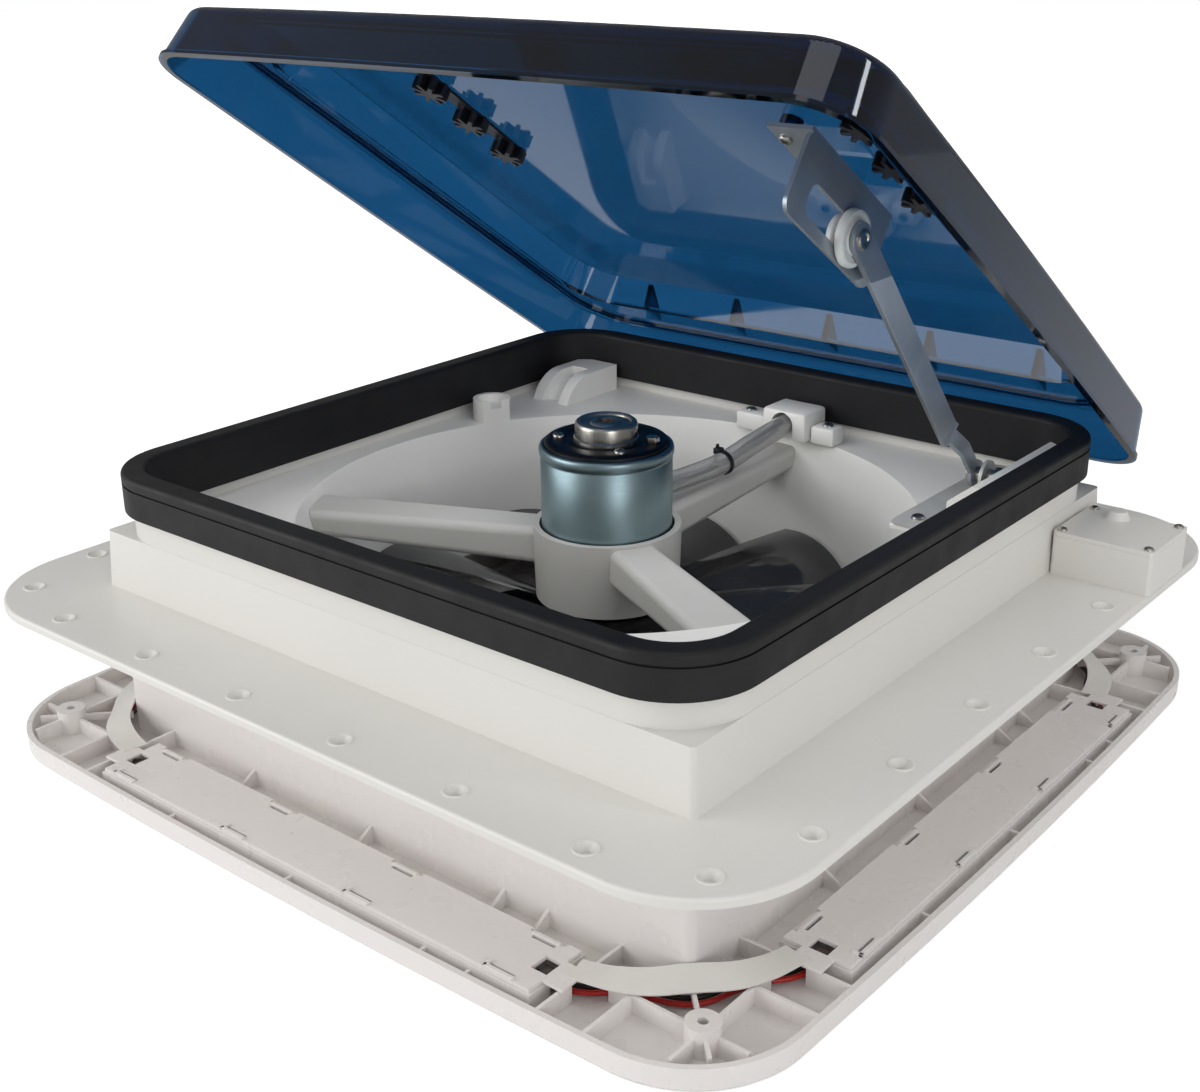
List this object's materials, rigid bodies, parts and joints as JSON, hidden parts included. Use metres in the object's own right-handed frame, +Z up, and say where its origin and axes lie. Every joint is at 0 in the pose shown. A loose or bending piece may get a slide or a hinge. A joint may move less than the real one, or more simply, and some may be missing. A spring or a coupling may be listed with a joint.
{
  "type": "caravan roof vent",
  "caption": "Powered roof vent for a caravan: square flange and collar, fan in a round mouth, hinged tinted lid on a driven arm, and a lit inner garnish.",
  "frame": {"origin": "centre of the roof opening, on the roof's surface, at the underside of the flange", "axes": "+Z up out of the roof, the lid hinges along +Y, the lift drive sits at +X"},
  "size_m": [0.4598, 0.4598, 0.3487],
  "materials": {
    "white_plastic": "satin, slightly warm white",
    "grey_plastic": "light grey, fine satin",
    "charcoal_rubber": "matt, fine grain",
    "tinted_clear": "glossy blue-black tint",
    "smoke_plastic": "glossy translucent smoke",
    "zinc": "blue-tinted zinc",
    "dark_steel": "dark, satin",
    "steel": "brushed",
    "clear_sleeve": "clear, glossy",
    "black_plastic": "satin black",
    "nylon": "satin white nylon",
    "milky_plastic": "milky, satin",
    "circuit_board": "white solder mask",
    "red_wire": "satin",
    "black_wire": "satin",
    "ribbon": "satin white",
    "screen_cloth": "woven fly screen"
  },
  "bodies": {
    "base": {"roof_flange": "white_plastic", "gasket": "charcoal_rubber", "shroud": "grey_plastic", "motor_spider": "grey_plastic", "motor_can": "zinc", "motor_end_plate": "dark_steel", "motor_cap": "steel", "motor_screws": "steel", "motor_cable": "clear_sleeve", "cable_tie": "black_plastic", "cable_arch": "grey_plastic", "arch_screws": "steel", "lift_plate": "dark_steel", "plate_screws": "steel", "gear_cover": "grey_plastic", "lift_housing": "black_plastic", "housing_lid": "black_plastic", "housing_screws": "steel", "lift_motor": "steel", "hinge_pins": "steel", "garnish": "white_plastic", "leads_red": "red_wire", "leads_black": "black_wire", "corner_ribbons": "ribbon", "screen_frame": "white_plastic", "screen_mesh": "screen_cloth", "led_diffuser_front": "milky_plastic", "led_board_front": "circuit_board", "led_cover_front": "white_plastic", "led_diffuser_right": "milky_plastic", "led_board_right": "circuit_board", "led_cover_right": "white_plastic", "led_diffuser_back": "milky_plastic", "led_board_back": "circuit_board", "led_cover_back": "white_plastic", "led_diffuser_left": "milky_plastic", "led_board_left": "circuit_board", "led_cover_left": "white_plastic"},
    "lid": {"lid": "tinted_clear", "lug_left": "black_plastic", "lug_right": "black_plastic", "lid_bracket": "steel", "bracket_screws": "steel"},
    "arm": {"lift_arm": "steel", "lift_shaft": "steel", "sector_gear": "nylon", "roller_pin": "steel"},
    "roller": {"roller": "nylon"},
    "pinion": {"drive_pinion": "nylon", "drive_shaft": "steel"},
    "fan": {"fan_wheel": "smoke_plastic", "fan_shaft": "steel", "fan_nut": "steel"}
  },
  "joints": [
    {"name": "lid_hinge", "type": "hinge", "parent": "base", "child": "lid", "pos_m": [0, 0.1875, 0.031], "axis": [-1, 0, 0], "range_deg": [-34, 3]},
    {"name": "arm_pivot", "type": "hinge", "parent": "base", "child": "arm", "pos_m": [0.133, 0.1224, 0.045], "axis": [-1, 0, 0], "range_deg": [-48, 5]},
    {"name": "roller_turn", "type": "hinge", "parent": "arm", "child": "roller", "pos_m": [0.1235, 0.00703, 0.17989], "axis": [1, 0, 0], "continuous": true},
    {"name": "pinion_turn", "type": "hinge", "parent": "base", "child": "pinion", "pos_m": [0.1555, 0.1404, 0.01616], "axis": [-1, 0, 0], "range_deg": [-21, 220]},
    {"name": "fan_turn", "type": "hinge", "parent": "base", "child": "fan", "pos_m": [-0.0065, 0, -0.03], "axis": [0, 0, 1], "continuous": true}
  ],
  "couplings": [
    {"joint": "arm_pivot", "follows": "lid_hinge", "ratio": 1.373},
    {"joint": "pinion_turn", "follows": "lid_hinge", "ratio": -6.4073}
  ]
}
